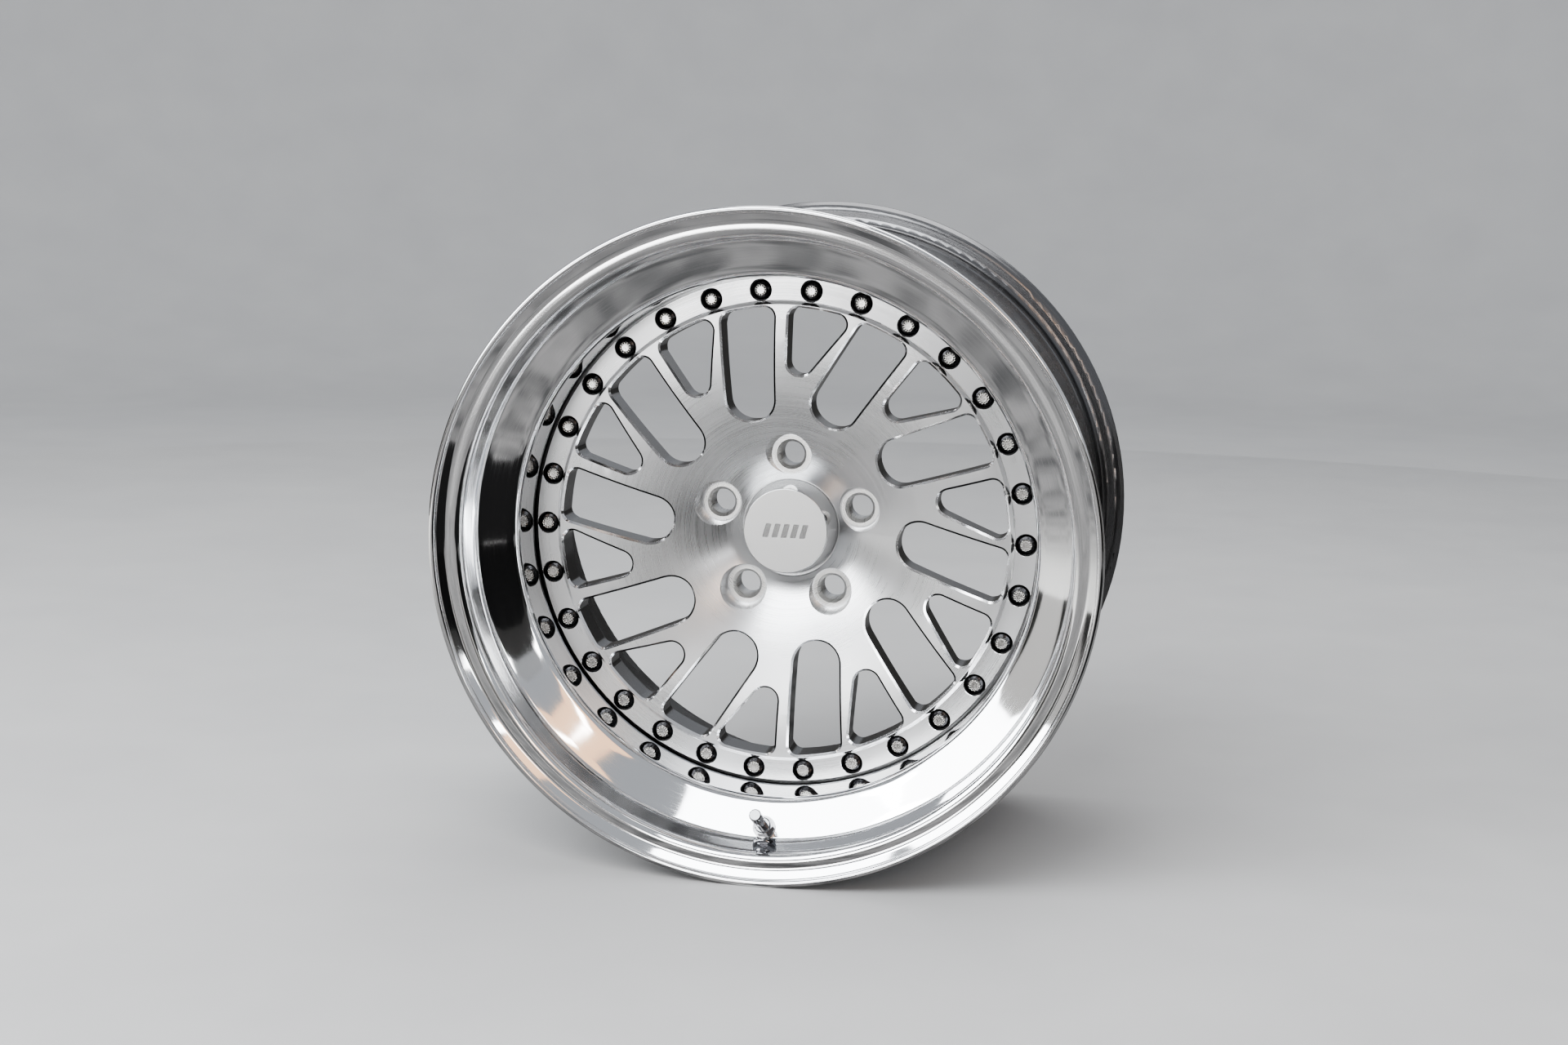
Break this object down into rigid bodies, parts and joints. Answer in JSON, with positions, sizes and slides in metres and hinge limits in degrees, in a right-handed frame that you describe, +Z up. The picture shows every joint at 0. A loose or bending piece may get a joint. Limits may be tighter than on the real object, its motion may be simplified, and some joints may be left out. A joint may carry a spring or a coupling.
{
  "type": "forged racing wheel rim",
  "caption": "Three-piece forged racing wheel: dished mesh centre bolted between a polished stepped lip and a barrel, with hub bore, stud pattern, centre cap and valve.",
  "frame": {"origin": "on the wheel's axis at the rim's mid-plane, where the hub pad lies", "axes": "+Y along the axis towards the vehicle, the front looks towards -Y, +Z up through the first stud hole"},
  "size_m": [0.4972, 0.304, 0.4972],
  "materials": {
    "turned_disc": "fine turned, brushed round the axis",
    "polished_lip": "mirror polished",
    "barrel": "semi-polished dark grey",
    "seat_steel": "machined",
    "bolt_chrome": "chrome plated",
    "nut_steel": "zinc plated",
    "sealant": "cured grey silicone",
    "cap_satin": "satin face, polished side",
    "seal_rubber": "moulded black rubber",
    "valve_chrome": "chrome plated",
    "core_brass": "machined brass",
    "spring_steel": "drawn wire"
  },
  "bodies": {
    "wheel": {"centre_disc": "turned_disc", "lug_seat_inserts": "seat_steel", "outer_rim_lip": "polished_lip", "inner_rim_barrel": "barrel", "rim_bolts": "bolt_chrome", "rim_nuts": "nut_steel", "nut_washers": "nut_steel", "rim_seal_bead": "sealant", "valve_stem": "valve_chrome", "valve_grommet": "seal_rubber", "valve_washer": "valve_chrome", "valve_nut": "valve_chrome", "valve_core_housing": "core_brass", "valve_core_gasket": "seal_rubber", "valve_core_spring": "spring_steel"},
    "cap": {"centre_cap": "cap_satin", "cap_o_ring": "seal_rubber"},
    "core_pin": {"valve_core_pin": "core_brass", "valve_core_seal": "seal_rubber"},
    "dust_seal": {"valve_cap_seal": "seal_rubber"},
    "dust_cap": {"valve_cap": "valve_chrome"}
  },
  "joints": [
    {"name": "centre_cap_pull", "type": "slide", "parent": "wheel", "child": "cap", "axis": [0, -1, 0], "range_m": [0, 0.15]},
    {"name": "valve_pin_press", "type": "slide", "parent": "wheel", "child": "core_pin", "axis": [0, 0.8704, -0.4924], "range_m": [0, 0.0012], "stiffness_N_per_m": 1500, "springref_m": -0.0006},
    {"name": "valve_cap_lift", "type": "slide", "parent": "wheel", "child": "dust_seal", "axis": [0, -0.8704, 0.4924], "range_m": [0, 0.00476]},
    {"name": "valve_cap_turn", "type": "hinge", "parent": "dust_seal", "child": "dust_cap", "pos_m": [0, -0.13433, -0.20064], "axis": [0, -0.8704, 0.4924], "range_deg": [0, 2161]}
  ],
  "couplings": [
    {"joint": "valve_cap_turn", "follows": "valve_cap_lift", "rad_per_m": 7913.3}
  ]
}
